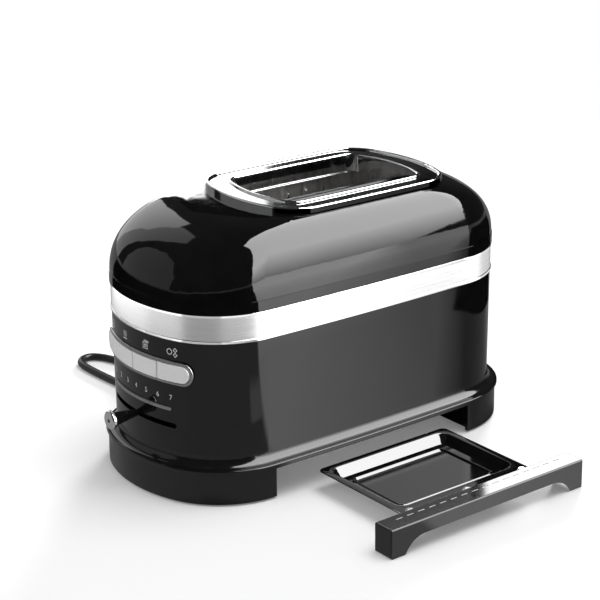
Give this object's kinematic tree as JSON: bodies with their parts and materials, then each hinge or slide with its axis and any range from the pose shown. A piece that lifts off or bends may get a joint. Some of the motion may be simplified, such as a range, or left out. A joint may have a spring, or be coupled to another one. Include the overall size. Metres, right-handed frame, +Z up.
{
  "type": "pop up toaster",
  "caption": "Long loaf-shaped pop up toaster: domed cover, metal trim band, framed bread slots, curved key panel, shade lever, motor lift and a crumb tray that slides out of the side.",
  "frame": {"origin": "on the floor under the middle of the toaster body", "axes": "+X along the body away from the controls, +Y away from the crumb tray's side, +Z up"},
  "size_m": [0.3479, 0.4549, 0.206],
  "materials": {
    "base_plastic": "moulded black, satin gloss",
    "foot_rubber": "matt black rubber",
    "black_enamel": "deep gloss black enamel",
    "band_metal": "brushed, with bright beads",
    "frame_steel": "mirror polished stainless",
    "pan_enamel": "gloss black pressed sheet",
    "screw_steel": "plated",
    "chassis_steel": "zinc plated sheet",
    "chamber_steel": "bright annealed sheet",
    "mica": "pressed mica sheet",
    "heater_alloy": "nickel chrome ribbon",
    "wire_steel": "bright drawn wire",
    "rack_steel": "pressed sheet",
    "gear_plastic": "natural nylon",
    "motor_can": "drawn steel can",
    "key_silver": "silver painted keys",
    "bezel_metal": "satin dark chrome rim",
    "board_green": "solder masked board",
    "part_black": "moulded black",
    "grip_black": "gloss black",
    "light_clear": "smoked light guide",
    "lead_black": "soft black sheath",
    "pin_brass": "nickel brass pins"
  },
  "bodies": {
    "chassis": {"base_moulding": "base_plastic", "rubber_feet": "foot_rubber", "lower_shell": "black_enamel", "dome_shell": "black_enamel", "trim_band": "band_metal", "slot_frame": "frame_steel", "centre_divider": "frame_steel", "base_screws": "screw_steel", "chassis_plate": "chassis_steel", "tray_rails": "chassis_steel", "motor_bracket": "chassis_steel", "board_bracket": "chassis_steel", "rod_bridge": "chassis_steel", "chamber_front_plate": "chamber_steel", "chamber_rear_plate": "chamber_steel", "near_reflector": "chamber_steel", "far_reflector": "chamber_steel", "near_heater_board": "mica", "centre_heater_board": "mica", "far_heater_board": "mica", "near_heater_ribbon": "heater_alloy", "centre_near_ribbon": "heater_alloy", "centre_far_ribbon": "heater_alloy", "far_heater_ribbon": "heater_alloy", "near_guard_wires": "wire_steel", "far_guard_wires": "wire_steel", "guide_rods": "wire_steel", "lift_motor": "motor_can", "button_bezel": "bezel_metal", "control_board": "board_green", "key_switches": "part_black", "shade_rail": "part_black", "terminal_block": "part_black", "cord_gland": "part_black", "strain_relief": "part_black", "light_bar": "light_clear", "power_cord": "lead_black", "cord_coil": "lead_black", "plug_body": "lead_black", "plug_relief": "lead_black", "plug_pins": "pin_brass"},
    "crumb_tray": {"tray_bar": "base_plastic", "tray_pan": "pan_enamel", "tray_screws": "screw_steel"},
    "bread_carriage": {"near_bread_rack": "rack_steel", "far_bread_rack": "rack_steel", "lift_bracket": "rack_steel", "lift_rack": "gear_plastic"},
    "drive_pinion": {"drive_pinion": "gear_plastic"},
    "key_1": {"button_1": "key_silver"},
    "key_2": {"button_2": "key_silver"},
    "key_3": {"button_3": "key_silver"},
    "key_4": {"button_4": "key_silver"},
    "shade_lever": {"shade_slider": "part_black", "shade_stem": "grip_black", "shade_cap": "frame_steel"}
  },
  "joints": [
    {"name": "tray_slide", "type": "slide", "parent": "chassis", "child": "crumb_tray", "axis": [0, 1, 0], "range_m": [0, 0.1255]},
    {"name": "lift_slide", "type": "slide", "parent": "chassis", "child": "bread_carriage", "axis": [0, 0, 1], "range_m": [-0.062, 0]},
    {"name": "pinion_spin", "type": "hinge", "parent": "chassis", "child": "drive_pinion", "pos_m": [-0.0675, 0.03, 0.098], "axis": [1, 0, 0], "range_deg": [-1, 593]},
    {"name": "key_1_press", "type": "slide", "parent": "chassis", "child": "key_1", "axis": [0.9364, -0.351, 0], "range_m": [0, 0.0015], "stiffness_N_per_m": 400, "springref_m": -0.0015},
    {"name": "key_2_press", "type": "slide", "parent": "chassis", "child": "key_2", "axis": [0.9929, -0.1193, 0], "range_m": [0, 0.0015], "stiffness_N_per_m": 400, "springref_m": -0.0015},
    {"name": "key_3_press", "type": "slide", "parent": "chassis", "child": "key_3", "axis": [0.9929, 0.1193, 0], "range_m": [0, 0.0015], "stiffness_N_per_m": 400, "springref_m": -0.0015},
    {"name": "key_4_press", "type": "slide", "parent": "chassis", "child": "key_4", "axis": [0.9364, 0.351, 0], "range_m": [0, 0.0015], "stiffness_N_per_m": 400, "springref_m": -0.0015},
    {"name": "shade_turn", "type": "hinge", "parent": "chassis", "child": "shade_lever", "pos_m": [-0.0465, 0, 0.0566], "axis": [0, 0, 1], "range_deg": [-19, 19]}
  ],
  "couplings": [
    {"joint": "pinion_spin", "follows": "lift_slide", "rad_per_m": -166.67}
  ]
}
